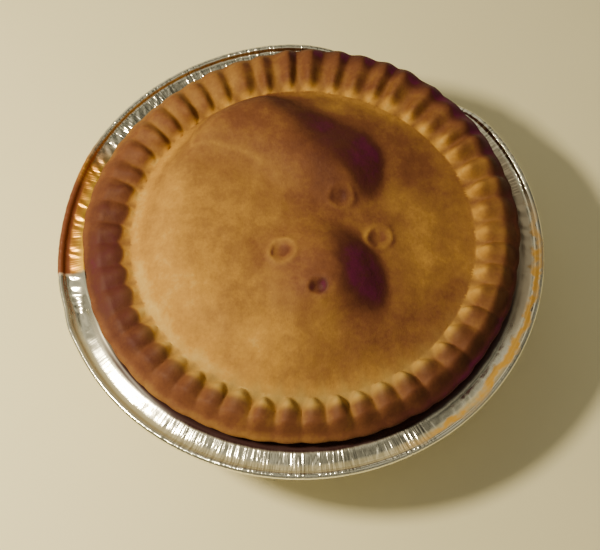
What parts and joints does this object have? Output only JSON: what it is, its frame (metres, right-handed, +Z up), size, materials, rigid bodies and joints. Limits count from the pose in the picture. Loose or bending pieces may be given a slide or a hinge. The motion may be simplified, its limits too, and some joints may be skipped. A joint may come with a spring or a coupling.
{
  "type": "meat and potato pie",
  "caption": "Round uncut meat and potato pie with a crimped rim and a puffed golden lid with steam holes, in its own pleated foil dish.",
  "frame": {"origin": "centre of the foil dish's flat underside", "axes": "+Z up through the middle of the pie, +X to the right and +Y away in the usual view from above the near edge"},
  "size_m": [0.1339, 0.1344, 0.0444],
  "materials": {
    "pastry": "baked shortcrust pastry, golden to dark brown, matte with a faint egg-wash sheen",
    "foil": "thin bright aluminium foil, finely pleated"
  },
  "bodies": {
    "root": {"pie": "pastry", "foil_dish": "foil"}
  },
  "joints": []
}
